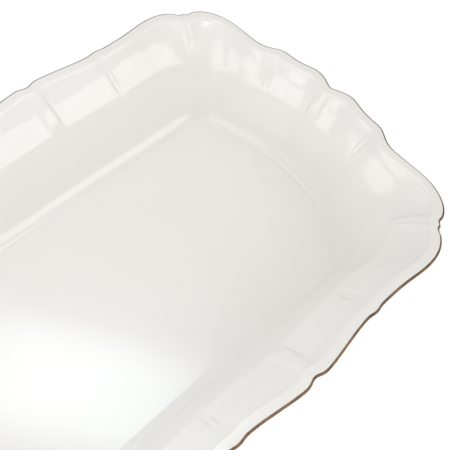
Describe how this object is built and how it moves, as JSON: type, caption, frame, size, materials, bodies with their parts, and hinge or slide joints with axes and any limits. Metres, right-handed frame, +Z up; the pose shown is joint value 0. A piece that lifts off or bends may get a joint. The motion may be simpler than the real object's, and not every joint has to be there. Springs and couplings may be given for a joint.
{
  "type": "serving platter",
  "caption": "Deep rectangular porcelain serving platter with a scalloped, fluted, flared rim, a thin gilt edge line and a foot ring.",
  "frame": {"origin": "on the table under the middle of the platter", "axes": "+X along the long side, +Y across, +Z up"},
  "size_m": [0.3504, 0.2184, 0.0573],
  "materials": {
    "bare_porcelain": "unglazed fired porcelain, fine matt",
    "white_glaze": "clear glossy glaze over warm white porcelain",
    "fired_gold": "fired overglaze gold, slightly rubbed"
  },
  "bodies": {
    "root": {"bisque_body": "bare_porcelain", "glaze_coat": "white_glaze", "glaze_foot_recess": "white_glaze", "gilt_edge_line": "fired_gold"}
  },
  "joints": []
}
